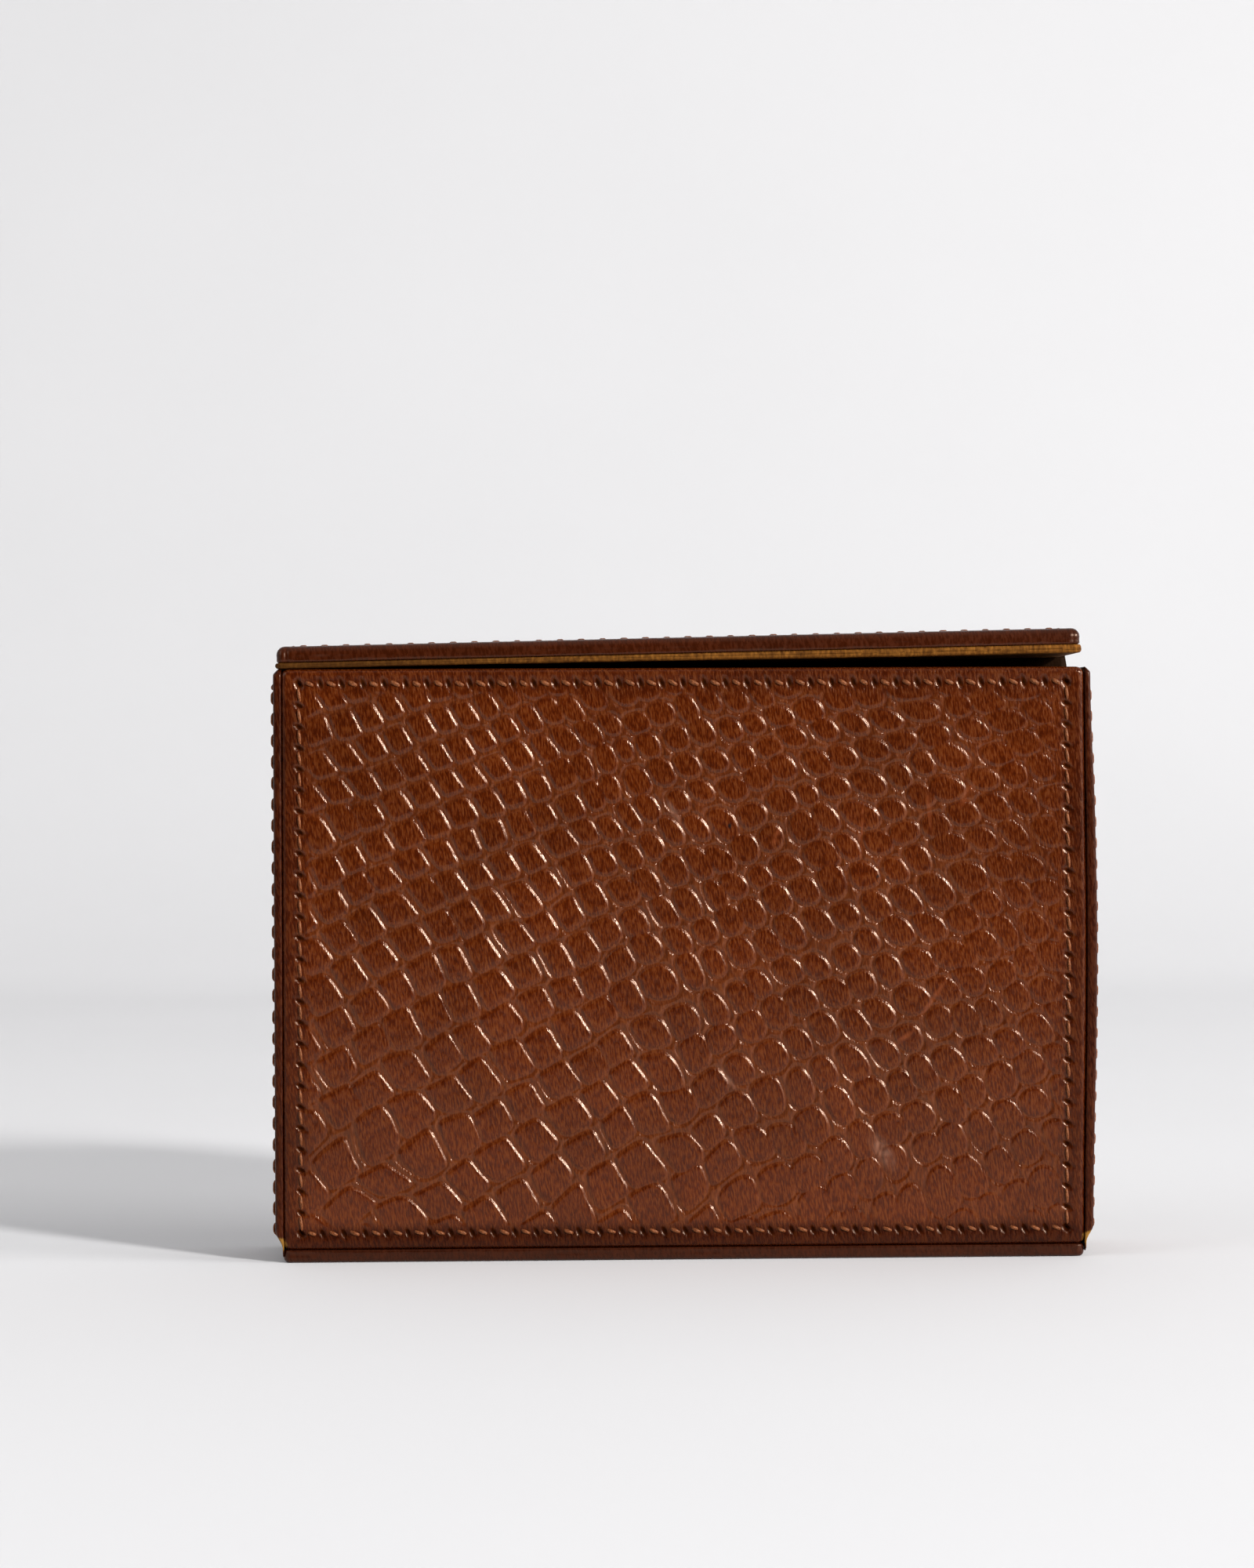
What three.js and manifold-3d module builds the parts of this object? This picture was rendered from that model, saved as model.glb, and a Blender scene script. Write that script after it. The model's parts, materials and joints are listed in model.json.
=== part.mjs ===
// Rigid leather card case for two decks of bridge-size playing cards, standing side by side.
// Units are millimetres, +Z is up, +X runs along the case, and the front faces -Y.
// The origin is on the underside of the base, at the middle of the case.
//
// The case is a box of flat panels. Each panel is a board with embossed leather turned over
// its edges, a smooth leather lining inside, and a ring of saddle stitching near the edge.
// The lid hangs on a leather strip along the back, and rests a little crooked: its left end
// sits on the case and its right end stands up by two and a half millimetres.

import * as THREE from 'three';
import { mergeVertices } from 'three/addons/utils/BufferGeometryUtils.js';
import Module from 'manifold-3d';

const wasm = await Module();
wasm.setup();

// Driving sizes of the case
const PANEL_WIDTH = 126;       // front, back, base and lid, left to right
const CASE_DEPTH = 25;         // front face to back face
const WALL_HEIGHT = 90.6;      // front and back panels
const LID_TILT = THREE.MathUtils.degToRad(1.16);
const LID_SHIFT = 0.7;         // how far the lid sits to the left
const SEAT_GAP = 0.1;          // under the lid's left end

// Thicknesses, from the outer face inwards
const WALL = { leather: 1.4, board: 1.2, lining: 0.9 };
const BASE = { leather: 1.0, board: 1.0, lining: 0.9 };
const LID = { leather: 1.2, board: 1.05, lining: 1.2 };
const GLUE_GAP = 0.05;         // between faces that are glued together
const SIDE_GAP = 0.1;          // between the edges of neighbouring panels

// Leather edges
const TURNED_EDGE = 1.2;       // width of the leather that wraps the board's edge
const EDGE_ROUND = 0.6;
const CORNER_RADIUS = 1.2;
const ARC_STEPS = 3;
const EDGE_STEPS = 2;
const END_BOTTOM = 0.8;        // the end panels stop this far above the table

// Saddle stitching, as a closed ring of thread lying in a groove
const STITCH_INSET = 2.5;
const THREAD_WIDTH = 0.8;
const THREAD_SUNK = 0.45;
const THREAD_PROUD = 0.3;
const GROOVE_MARGIN = 0.1;
const BACK_TOP_ROW = 5.5;      // the back's top row also holds the hinge strip

// Hinge strip and divider
const STRIP_WIDTH = PANEL_WIDTH;
const STRIP_THICKNESS = 0.7;
const STRIP_LAP = 8;           // length glued down on the back panel
const STRIP_TOP = 0.7;         // from the lid's top face down to the strip's upper edge
const REBATE_MARGIN = 0.05;
const DIVIDER = { thickness: 1.6, board: 0.8, top: 90, headroom: 2 };

const caseTop = BASE.leather + BASE.board + WALL_HEIGHT;
const wallCentre = BASE.leather + BASE.board + WALL_HEIGHT / 2;
const wallThickness = WALL.leather + WALL.board + WALL.lining;
const innerDepth = CASE_DEPTH - 2 * wallThickness;
const lidThickness = LID.leather + LID.board + LID.lining;

const embossedLeather = { color: 0x54230f, roughness: 0.42, metalness: 0 };
const liningLeather = { color: 0x9a6638, roughness: 0.65, metalness: 0 };
const greyBoard = { color: 0x8b8378, roughness: 0.9, metalness: 0 };
const waxedThread = { color: 0x8a5230, roughness: 0.6, metalness: 0 };
const stripLeather = { color: 0x4a2010, roughness: 0.5, metalness: 0 };

function roundedOutline(path, width, height, radius, x = 0, y = 0) {
  const right = x + width / 2 - radius;
  const left = x - width / 2 + radius;
  const top = y + height / 2 - radius;
  const bottom = y - height / 2 + radius;
  const quarter = Math.PI / 2;
  path.absarc(right, bottom, radius, -quarter, 0);
  path.absarc(right, top, radius, 0, quarter);
  path.absarc(left, top, radius, quarter, 2 * quarter);
  path.absarc(left, bottom, radius, 2 * quarter, 3 * quarter);
  path.closePath();
  return path;
}

function toSolid(geometry) {
  geometry.deleteAttribute('uv');
  geometry.deleteAttribute('normal');
  const merged = mergeVertices(geometry, 1e-4);
  return new wasm.Manifold(new wasm.Mesh({
    numProp: 3,
    vertProperties: new Float32Array(merged.attributes.position.array),
    triVerts: new Uint32Array(merged.index.array),
  }));
}

function toGeometry(solid) {
  const mesh = solid.getMesh();
  const geometry = new THREE.BufferGeometry();
  geometry.setAttribute('position', new THREE.BufferAttribute(mesh.vertProperties, 3));
  geometry.setIndex(new THREE.BufferAttribute(mesh.triVerts, 1));
  return geometry;
}

// A plate with its outer face at z = top and its edges rounded by round.
function plate({ width, height, thickness, top = 0, x = 0, y = 0, radius = CORNER_RADIUS, round = 0 }) {
  const shape = roundedOutline(new THREE.Shape(), width, height, radius, x, y);
  const geometry = new THREE.ExtrudeGeometry(shape, {
    depth: thickness - 2 * round,
    curveSegments: ARC_STEPS,
    bevelEnabled: round > 0,
    bevelThickness: round,
    bevelSize: round,
    bevelOffset: -round,
    bevelSegments: EDGE_STEPS,
  });
  geometry.translate(0, 0, top - thickness + round);
  return toSolid(geometry);
}

// A rectangular ring whose middle line is inset from a panel's edges.
function ring({ width, height, insets, lineWidth, top, bottom }) {
  const middleWidth = width - 2 * insets.side;
  const middleHeight = height - insets.top - insets.bottom;
  const y = (insets.bottom - insets.top) / 2;
  const outer = [middleWidth + lineWidth, middleHeight + lineWidth, CORNER_RADIUS, 0, y];
  const inner = [middleWidth - lineWidth, middleHeight - lineWidth, CORNER_RADIUS - lineWidth, 0, y];
  const shape = roundedOutline(new THREE.Shape(), ...outer);
  shape.holes.push(roundedOutline(new THREE.Path(), ...inner));
  const options = { depth: top - bottom, curveSegments: ARC_STEPS, bevelEnabled: false };
  const geometry = new THREE.ExtrudeGeometry(shape, options);
  geometry.translate(0, 0, bottom);
  return toSolid(geometry);
}

function stitchRing(size, insets, proud) {
  return ring({ ...size, insets, lineWidth: THREAD_WIDTH, top: proud, bottom: -THREAD_SUNK });
}

function stitchGroove(size, insets) {
  const lineWidth = THREAD_WIDTH + 2 * GROOVE_MARGIN;
  return ring({ ...size, insets, lineWidth, top: 1, bottom: -THREAD_SUNK - GROOVE_MARGIN });
}

function block(x, y, z) {
  const [width, depth, height] = [x[1] - x[0], y[1] - y[0], z[1] - z[0]];
  const geometry = new THREE.BoxGeometry(width, depth, height);
  geometry.translate((x[0] + x[1]) / 2, (y[0] + y[1]) / 2, (z[0] + z[1]) / 2);
  return toSolid(geometry);
}

function addMesh(group, name, solid, finish) {
  const mesh = new THREE.Mesh(toGeometry(solid), new THREE.MeshStandardMaterial(finish));
  mesh.name = name;
  group.add(mesh);
}

// One panel in its own frame: the outer face is z = 0 and the inside of the case is towards -Z.
function panel(name, { size, layers, insets, wrapped, board, lining, proud = THREAD_PROUD, rebate }) {
  const group = new THREE.Group();
  const skinDepth = wrapped ? layers.leather + layers.board : layers.leather;
  let leather = plate({ ...size, thickness: skinDepth, round: EDGE_ROUND });
  if (wrapped) {
    leather = leather.subtract(plate({
      width: size.width - 2 * TURNED_EDGE,
      height: size.height - 2 * TURNED_EDGE,
      thickness: layers.board + 1,
      top: -layers.leather,
      radius: CORNER_RADIUS / 2,
    }));
  }
  leather = leather.subtract(stitchGroove(size, insets));
  if (rebate) {
    leather = leather.subtract(rebate);
  }
  addMesh(group, `${name}_leather`, leather, embossedLeather);

  const boardSolid = plate({
    ...board,
    thickness: layers.board - (wrapped ? GLUE_GAP : 2 * GLUE_GAP),
    top: -layers.leather - GLUE_GAP,
    radius: CORNER_RADIUS / 2,
  });
  addMesh(group, `${name}_board`, boardSolid, greyBoard);

  const liningSolid = plate({
    ...lining,
    thickness: layers.lining - GLUE_GAP,
    top: -layers.leather - layers.board - GLUE_GAP,
    radius: CORNER_RADIUS / 2,
  });
  addMesh(group, `${name}_lining`, liningSolid, liningLeather);
  addMesh(group, `${name}_stitching`, stitchRing(size, insets, proud), waxedThread);
  return group;
}

function evenInsets(inset) {
  return { side: inset, top: inset, bottom: inset };
}

const wrappedBoard = (size) => ({
  width: size.width - 2 * TURNED_EDGE - 2 * GLUE_GAP,
  height: size.height - 2 * TURNED_EDGE - 2 * GLUE_GAP,
});

// Front and back walls
const wallSize = { width: PANEL_WIDTH, height: WALL_HEIGHT };
const wallLining = { width: PANEL_WIDTH - 2 * SIDE_GAP, height: WALL_HEIGHT - 2 * SIDE_GAP };
const wallPanel = {
  size: wallSize,
  layers: WALL,
  insets: evenInsets(STITCH_INSET),
  wrapped: true,
  board: wrappedBoard(wallSize),
  lining: wallLining,
};

const front = panel('front', wallPanel);
front.position.set(0, -CASE_DEPTH / 2, wallCentre);
front.rotation.x = Math.PI / 2;

const backInsets = { side: STITCH_INSET, top: BACK_TOP_ROW, bottom: STITCH_INSET };
const stripRebate = block(
  [-STRIP_WIDTH / 2 - REBATE_MARGIN, STRIP_WIDTH / 2 + REBATE_MARGIN],
  [WALL_HEIGHT / 2 - STRIP_LAP - REBATE_MARGIN, WALL_HEIGHT / 2 + 1],
  [-STRIP_THICKNESS - REBATE_MARGIN, 1],
);
const back = panel('back', { ...wallPanel, insets: backInsets, rebate: stripRebate });
const backFrame = new THREE.Group();
backFrame.add(back);
back.rotation.x = Math.PI / 2;
backFrame.rotation.z = Math.PI;
backFrame.position.set(0, CASE_DEPTH / 2, wallCentre);

// End walls: flat leather outside the front and back panels, board and lining between them
const endHeight = caseTop - END_BOTTOM;
const endCentre = END_BOTTOM + endHeight / 2;
const endInnerWidth = innerDepth - 2 * SIDE_GAP;
const endInnerHeight = WALL_HEIGHT - 2 * SIDE_GAP;
const endInnerDrop = wallCentre - endCentre;

function endPanel(name, side) {
  const inner = { width: endInnerWidth, height: endInnerHeight, y: endInnerDrop };
  const group = panel(name, {
    size: { width: CASE_DEPTH - 2 * SIDE_GAP, height: endHeight },
    layers: WALL,
    insets: evenInsets(STITCH_INSET),
    wrapped: false,
    board: inner,
    lining: inner,
  });
  group.rotation.x = Math.PI / 2;
  const frame = new THREE.Group();
  frame.add(group);
  frame.rotation.z = side * Math.PI / 2;
  frame.position.set(side * (PANEL_WIDTH / 2 + SIDE_GAP + WALL.leather), 0, endCentre);
  return frame;
}

// Base
const baseSize = { width: PANEL_WIDTH, height: CASE_DEPTH };
const innerWidth = PANEL_WIDTH - 2 * (WALL.board + WALL.lining);
const base = panel('base', {
  size: baseSize,
  layers: BASE,
  insets: evenInsets(STITCH_INSET),
  wrapped: true,
  board: wrappedBoard(baseSize),
  lining: { width: innerWidth - 2 * SIDE_GAP, height: innerDepth - 2 * SIDE_GAP },
  proud: -GLUE_GAP,
});
base.rotation.x = Math.PI;

// Lid, tilted about the bottom edge of its left end
const lidSize = { width: PANEL_WIDTH, height: CASE_DEPTH };
const lidRebateHalf = STRIP_WIDTH / 2 + LID_SHIFT + 2 * SIDE_GAP;
const lidRebate = block(
  [-lidRebateHalf, lidRebateHalf],
  [CASE_DEPTH / 2 - STRIP_THICKNESS - REBATE_MARGIN, CASE_DEPTH / 2 + 1],
  [-lidThickness, -STRIP_TOP + REBATE_MARGIN],
);
const lidLiningDepth = CASE_DEPTH - STRIP_THICKNESS - 2 * SIDE_GAP;
const lid = panel('lid', {
  size: lidSize,
  layers: LID,
  insets: evenInsets(STITCH_INSET),
  wrapped: true,
  board: wrappedBoard(lidSize),
  lining: {
    width: PANEL_WIDTH - 2 * SIDE_GAP,
    height: lidLiningDepth,
    y: -STRIP_THICKNESS / 2,
  },
  rebate: lidRebate,
});
lid.position.set(PANEL_WIDTH / 2, 0, lidThickness);
const lidTilt = new THREE.Group();
lidTilt.add(lid);
lidTilt.rotation.y = -LID_TILT;
lidTilt.position.set(-PANEL_WIDTH / 2 - LID_SHIFT, 0, caseTop + SEAT_GAP);

// Hinge strip, let into the back panel and the lid's back edge. It is drawn in the back
// panel's frame, where +X is the case's left. Its upper edge follows the lid's tilt, and its
// ends lean to the left to meet the lid's ends.
const stripHalf = STRIP_WIDTH / 2;
const stripTop = (x) => {
  const fromPivot = PANEL_WIDTH / 2 + LID_SHIFT - x;
  const rise = fromPivot * Math.tan(LID_TILT) + (lidThickness - STRIP_TOP) / Math.cos(LID_TILT);
  return WALL_HEIGHT / 2 + SEAT_GAP + rise;
};
const stripOutline = new THREE.Shape();
stripOutline.moveTo(-stripHalf, WALL_HEIGHT / 2 - STRIP_LAP);
stripOutline.lineTo(stripHalf, WALL_HEIGHT / 2 - STRIP_LAP);
stripOutline.lineTo(stripHalf, WALL_HEIGHT / 2);
stripOutline.lineTo(stripHalf + LID_SHIFT, stripTop(stripHalf + LID_SHIFT));
stripOutline.lineTo(LID_SHIFT - stripHalf, stripTop(LID_SHIFT - stripHalf));
stripOutline.lineTo(-stripHalf, WALL_HEIGHT / 2);
stripOutline.closePath();
const stripGeometry = new THREE.ExtrudeGeometry(stripOutline, { depth: STRIP_THICKNESS, bevelEnabled: false });
stripGeometry.translate(0, 0, -STRIP_THICKNESS);
const strip = toSolid(stripGeometry).subtract(stitchGroove(wallSize, backInsets));
addMesh(back, 'hinge_strip', strip, stripLeather);

// Divider between the two decks: lining leather folded over a thin board
const divider = new THREE.Group();
const floorLevel = BASE.leather + BASE.board + BASE.lining + SIDE_GAP;
const dividerHalf = innerDepth / 2 - SIDE_GAP;
const boardHalf = DIVIDER.board / 2;
const dividerSkin = block(
  [-DIVIDER.thickness / 2, DIVIDER.thickness / 2],
  [-dividerHalf, dividerHalf],
  [floorLevel, DIVIDER.top],
).subtract(block(
  [-boardHalf, boardHalf],
  [-dividerHalf - 1, dividerHalf + 1],
  [floorLevel - 1, DIVIDER.top - DIVIDER.headroom],
));
addMesh(divider, 'divider_lining', dividerSkin, liningLeather);
const dividerBoard = block(
  [-boardHalf + GLUE_GAP, boardHalf - GLUE_GAP],
  [-dividerHalf, dividerHalf],
  [floorLevel, DIVIDER.top - DIVIDER.headroom - GLUE_GAP],
);
addMesh(divider, 'divider_board', dividerBoard, greyBoard);

const group = new THREE.Group();
group.add(front, backFrame, endPanel('left_end', -1), endPanel('right_end', 1), base, lidTilt, divider);

export default group;
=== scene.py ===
"""A rigid leather card case: embossed panels, saddle stitching, tan lining and a crooked lid.

Lengths are millimetres, except names that end in _m, the shaders' sizes, the stage and the
lights, which are in metres. Every panel is made in its own flat frame, where x and y lie in the
panel and z points out of the case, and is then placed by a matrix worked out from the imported
CAD nodes.
"""
import json
import math

import bpy
import numpy as np
from mathutils import Matrix, Vector


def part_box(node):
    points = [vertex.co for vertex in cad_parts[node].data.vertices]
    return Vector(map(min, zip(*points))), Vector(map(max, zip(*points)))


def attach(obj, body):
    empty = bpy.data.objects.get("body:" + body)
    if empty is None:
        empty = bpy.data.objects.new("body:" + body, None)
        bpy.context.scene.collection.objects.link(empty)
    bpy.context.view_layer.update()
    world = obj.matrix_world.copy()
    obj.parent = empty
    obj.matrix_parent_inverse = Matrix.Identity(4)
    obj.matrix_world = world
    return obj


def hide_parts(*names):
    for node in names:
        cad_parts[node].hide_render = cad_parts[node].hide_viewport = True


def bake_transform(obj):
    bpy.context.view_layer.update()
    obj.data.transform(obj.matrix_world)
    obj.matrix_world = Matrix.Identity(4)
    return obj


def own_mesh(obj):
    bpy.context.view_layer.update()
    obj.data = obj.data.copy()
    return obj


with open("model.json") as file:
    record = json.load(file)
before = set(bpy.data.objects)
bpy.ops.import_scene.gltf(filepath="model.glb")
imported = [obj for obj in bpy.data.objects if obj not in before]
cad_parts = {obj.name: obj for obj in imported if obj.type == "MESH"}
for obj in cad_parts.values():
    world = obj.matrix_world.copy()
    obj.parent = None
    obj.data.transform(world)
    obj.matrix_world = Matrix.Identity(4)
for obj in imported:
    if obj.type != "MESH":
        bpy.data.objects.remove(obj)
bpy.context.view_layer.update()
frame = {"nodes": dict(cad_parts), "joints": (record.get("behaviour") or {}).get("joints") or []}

MM = 0.001


def node_size(node):
    """A CAD node's lowest and highest corners in millimetres."""
    low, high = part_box(node)
    return low / MM, high / MM


# Sizes and the lid's place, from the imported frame
base_low, base_high = node_size("base_leather")
PANEL_WIDTH = base_high.x - base_low.x
DEPTH = base_high.y - base_low.y
CASE_TOP = node_size("front_leather")[1].z
joints = {joint["name"]: joint for joint in frame["joints"]}
hinge_axis = Vector(joints["lid_hinge"]["axis"])
hinge_point = Vector(joints["lid_hinge"]["pos_m"]) / MM
lid_pivot = Vector(joints["lid_rock"]["pos_m"]) / MM
LID_TILT = math.atan2(-hinge_axis.z, -hinge_axis.x)
lid_x = Vector((math.cos(LID_TILT), 0.0, math.sin(LID_TILT)))
lid_z = Vector((-math.sin(LID_TILT), 0.0, math.cos(LID_TILT)))

# Leather and board, from the outer face inwards
WALL_LEATHER = 1.4
WALL_BODY = 2.6           # leather and board
BASE_LEATHER = 1.0
BASE_BODY = 2.0           # leather and board
LID_LEATHER = 1.2
LID_BODY = 2.25           # leather and board
LID_LINING = 1.2
LID_PADDING = 0.3         # how far the lid's leather swells above its board
LID_REACH = 0.45          # how far the lid reaches past its board on the right
LINING_RAISE = 0.26       # from the lining's flat underside down to the CAD solid's
LINING_SAG = 0.42         # how far the lid's lining hangs at its raised end
TURNED_EDGE = 1.2
CORNER = 1.2

# Saddle stitching: insets are from a panel's sides, bottom and top
STITCH_INSET = 2.5
EVEN_INSETS = (STITCH_INSET, STITCH_INSET, STITCH_INSET)
FRONT_INSETS = (2.8, 2.6, 2.15)
BACK_INSETS = (STITCH_INSET, STITCH_INSET, 5.5)
STITCH_PITCH = 3.35
THREAD_RADIUS = 0.24

# Hinge strip
STRIP_LAP = 8.0
STRIP_HALF = 63.0
STRIP_THICK = 0.7
REBATE_TOP = 0.66         # from the lid's flat top down to the rebate that holds the strip
STRIP_FLARE = 1.1         # how far the strip's right end spreads above the fold
LID_SHIFT = 0.7           # how far the lid sits to the left


# ---------------------------------------------------------------- numbers and meshes

def smoothstep(low, high, value):
    t = np.clip((value - low) / (high - low), 0.0, 1.0)
    return t * t * (3.0 - 2.0 * t)


def value_noise(x, y, size, seed):
    """Smooth noise from -1 to 1 whose bumps are about size across."""
    table = np.random.default_rng(seed).uniform(-1.0, 1.0, (64, 64))
    u, v = np.asarray(x) / size + 200.0, np.asarray(y) / size + 200.0
    i, j = np.floor(u).astype(int), np.floor(v).astype(int)
    fu, fv = u - i, v - j
    fu, fv = fu * fu * (3 - 2 * fu), fv * fv * (3 - 2 * fv)
    a, b = table[i % 64, j % 64], table[(i + 1) % 64, j % 64]
    c, d = table[i % 64, (j + 1) % 64], table[(i + 1) % 64, (j + 1) % 64]
    return (a * (1 - fu) + b * fu) * (1 - fv) + (c * (1 - fu) + d * fu) * fv


def settle(points):
    """The hand-made case's small irregularities, in millimetres in the shared frame.

    The right side bows out, the end pieces are pared thin at their lower and upper ends, and the
    top rims of the front and the ends rise a little. The lid keeps its place.
    """
    half_front, top, rim_top = 63.08, 92.6, 92.65
    x, y, z = points.T
    case = smoothstep(92.72, 92.66, z)
    bow = np.sin(math.pi * np.clip(z / 92.0, 0.0, 1.0)) ** 2
    foot = smoothstep(60.0, 5.0, z)
    right_part = smoothstep(20.0, 62.0, x)
    right_end = smoothstep(63.2, 64.2, x)
    left_end = smoothstep(-62.9, -63.3, x)
    shift = (0.20 - 0.32 * foot + 0.30 * bow) * right_part * case
    shift += (0.25 * bow - 0.42 * smoothstep(68.0, 92.0, z)) * right_end * case
    shift += 0.22 * left_end * case
    past_front = np.maximum(np.abs(x) - half_front, 0.0) * (z < rim_top)
    pared = 0.80 * smoothstep(5.0, 2.2, z) + 0.35 * smoothstep(91.6, top, z)
    shift -= np.sign(x) * past_front * pared
    rise = 0.30 * smoothstep(89.6, 91.8, z) * (z < rim_top) * smoothstep(11.4, 9.4, y)
    return np.c_[x + shift, y, z + rise]


def make_object(name, points_m, faces, material, attributes=None, smooth=True):
    """A mesh object from points in metres in the shared frame."""
    mesh = bpy.data.meshes.new(name)
    mesh.from_pydata(points_m.tolist(), [], faces)
    mesh.polygons.foreach_set("use_smooth", [smooth] * len(mesh.polygons))
    for key, values in (attributes or {}).items():
        layer = mesh.attributes.new(key, "FLOAT", "POINT")
        layer.data.foreach_set("value", np.asarray(values, np.float32))
    mesh.materials.append(material)
    mesh.update()
    obj = bpy.data.objects.new(name, mesh)
    bpy.context.scene.collection.objects.link(obj)
    return obj


def make_piece(name, points, faces, matrix, material, attributes=None, smooth=True):
    """A piece of the case from points in millimetres in a local frame."""
    local = np.c_[np.asarray(points, float), np.ones(len(points))]
    world = settle((local @ np.array(matrix).T)[:, :3]) * MM
    return make_object(name, world, faces, material, attributes, smooth)


def place(origin, x_axis, z_axis):
    """The matrix of a panel frame: origin in millimetres, z_axis out of the case."""
    z = Vector(z_axis).normalized()
    x = Vector(x_axis).normalized()
    y = z.cross(x)
    matrix = Matrix((x, y, z)).transposed().to_4x4()
    matrix.translation = Vector(origin)
    return matrix


def add_piece(obj, body, slot, *nodes):
    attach(obj, body)
    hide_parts(*nodes)


# ---------------------------------------------------------------- panel shapes

def grid_lines(length, pitch, edge_round):
    """Positions across a panel, evenly spaced inside and closer together round its edges."""
    arc = edge_round * (1.0 - np.cos(np.linspace(0.0, math.pi / 2, 6)))
    count = max(2, round((length - 2 * edge_round) / pitch))
    inner = np.linspace(edge_round, length - edge_round, count + 1)
    return np.r_[arc[:-1], inner, length - arc[-2::-1]] - length / 2


def round_corners(x, y, width, height, corner):
    """Moves points of a rectangle onto one with round corners. Also gives the depth in from the edge."""
    over_x = np.maximum(np.abs(x) - (width / 2 - corner), 0.0)
    over_y = np.maximum(np.abs(y) - (height / 2 - corner), 0.0)
    reach = np.maximum(over_x, over_y)
    length = np.maximum(np.hypot(over_x, over_y), 1e-9)
    in_corner = (over_x > 0) & (over_y > 0)
    factor = np.where(in_corner, reach / length, 1.0)
    new_x = np.sign(x) * (np.minimum(np.abs(x), width / 2 - corner) + over_x * factor)
    new_y = np.sign(y) * (np.minimum(np.abs(y), height / 2 - corner) + over_y * factor)
    straight = np.minimum(width / 2 - np.abs(x), height / 2 - np.abs(y))
    depth = np.where(in_corner, corner - reach, straight)
    out_x = np.where(in_corner, over_x / length, (over_x >= corner - 1e-6) * 1.0) * np.sign(x)
    out_y = np.where(in_corner, over_y / length, (over_y >= corner - 1e-6) * 1.0) * np.sign(y)
    return new_x, new_y, np.maximum(depth, 0.0), out_x, out_y


def side_profile(thickness, edge_round, under_round, pocket):
    """(inset, z) of each ring below the outer face's edge, down the side and under the panel."""
    low = thickness - under_round
    steps = np.linspace(edge_round, low, 6)[1:]
    profile = [(0.0, -z) for z in steps]
    for angle in np.linspace(0.0, math.pi / 2, 5)[1:]:
        profile.append((under_round * (1 - math.cos(angle)), -low - under_round * math.sin(angle)))
    if pocket:
        turned, leather = pocket
        profile.append((turned, -thickness))
        profile.append((turned, -leather))
    return profile


def slab(width, height, thickness, pitch, edge_round, under_round=0.3, corner=CORNER, relief=None,
         pocket=None, side_wave=0.03, seed=1):
    """Points, faces and attributes of a soft-edged panel. relief(x, y) gives heights and attributes."""
    xs, ys = grid_lines(width, pitch, edge_round), grid_lines(height, pitch, edge_round)
    nx, ny = len(xs), len(ys)
    gx, gy = np.meshgrid(xs, ys)
    px, py, depth, out_x, out_y = round_corners(gx.ravel(), gy.ravel(), width, height, corner)
    inside = np.clip(edge_round - depth, 0.0, edge_round)
    drop = edge_round - np.sqrt(np.maximum(edge_round ** 2 - inside ** 2, 0.0))
    attributes = {}
    top = -drop
    if relief:
        heights, attributes = relief(px, py)
        top = top + heights * smoothstep(0.0, edge_round, depth)
    points = [np.c_[px, py, top]]
    row, column = np.arange(ny - 1)[:, None] * nx, np.arange(nx - 1)[None, :]
    corner_index = (row + column).ravel()
    faces = np.c_[corner_index, corner_index + 1, corner_index + nx + 1, corner_index + nx].tolist()

    loop = np.r_[np.arange(nx), np.arange(1, ny) * nx + nx - 1,
                 (ny - 1) * nx + np.arange(nx - 2, -1, -1), np.arange(ny - 2, 0, -1) * nx]
    edge = np.c_[px[loop], py[loop]]
    outward = np.c_[out_x[loop], out_y[loop]]
    along = np.arange(len(loop)) * pitch
    level = np.zeros(len(loop))
    short, long = value_noise(along, level, 1.1, seed), value_noise(along, level, 7.0, seed + 1)
    wave = side_wave * (0.6 * short + long)
    previous = loop
    count = nx * ny
    total = len(loop)
    following = np.r_[1:total, 0]
    profile = side_profile(thickness, edge_round, under_round, pocket)
    for step, (inset, z) in enumerate(profile):
        bulge = math.sin(math.pi * min(1.0, (step + 1) / 6.0)) if inset < under_round else 0.0
        swell = wave * bulge
        ring = edge + outward * (swell - inset)[:, None]
        points.append(np.c_[ring, np.full(total, z)])
        current = count + np.arange(total)
        faces += np.c_[previous[following], previous, current, current[following]].tolist()
        previous = current
        count += total
    faces.append(previous[::-1].tolist())
    points = np.vstack(points)
    padding = len(points) - nx * ny
    attributes = {k: np.r_[v, np.full(padding, v[loop].mean())] for k, v in attributes.items()}
    return points, faces, attributes


# ---------------------------------------------------------------- embossed scales

def scale_field(x, y):
    """Scale-lattice coordinates. Rows climb to the right, and the scales grow towards the bottom.

    s counts scales along a row and t counts rows. stagger is how far a row's scales lie along
    from those of the row below, and size_s and size_t are a scale's size in millimetres.
    """
    centre_width, centre_height = 4.9, 5.3
    slope, bend = 0.40, 0.0013
    shrink = 0.006
    grow_left, grow_right = 0.0062, 0.0022
    pull = -22.0
    climb = (np.exp(shrink * y) - 1.0) / shrink
    row_angle = math.atan(slope)
    along = x * math.cos(row_angle) + y * math.sin(row_angle)
    growth = grow_left + (grow_right - grow_left) * smoothstep(-5.0, 60.0, x)
    size_s = centre_width * np.exp(-growth * y)
    s = (along - pull) / size_s
    row = (climb - slope * x + bend * x * x) * math.cos(row_angle)
    taller = 1.03 - 0.0016 * x
    t = row / (centre_height * taller)
    size_t = centre_height * taller * np.exp(-shrink * y)
    stagger = growth * (along - pull) * math.cos(row_angle) * centre_height / centre_width
    return s, t, stagger, size_s, size_t


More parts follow.
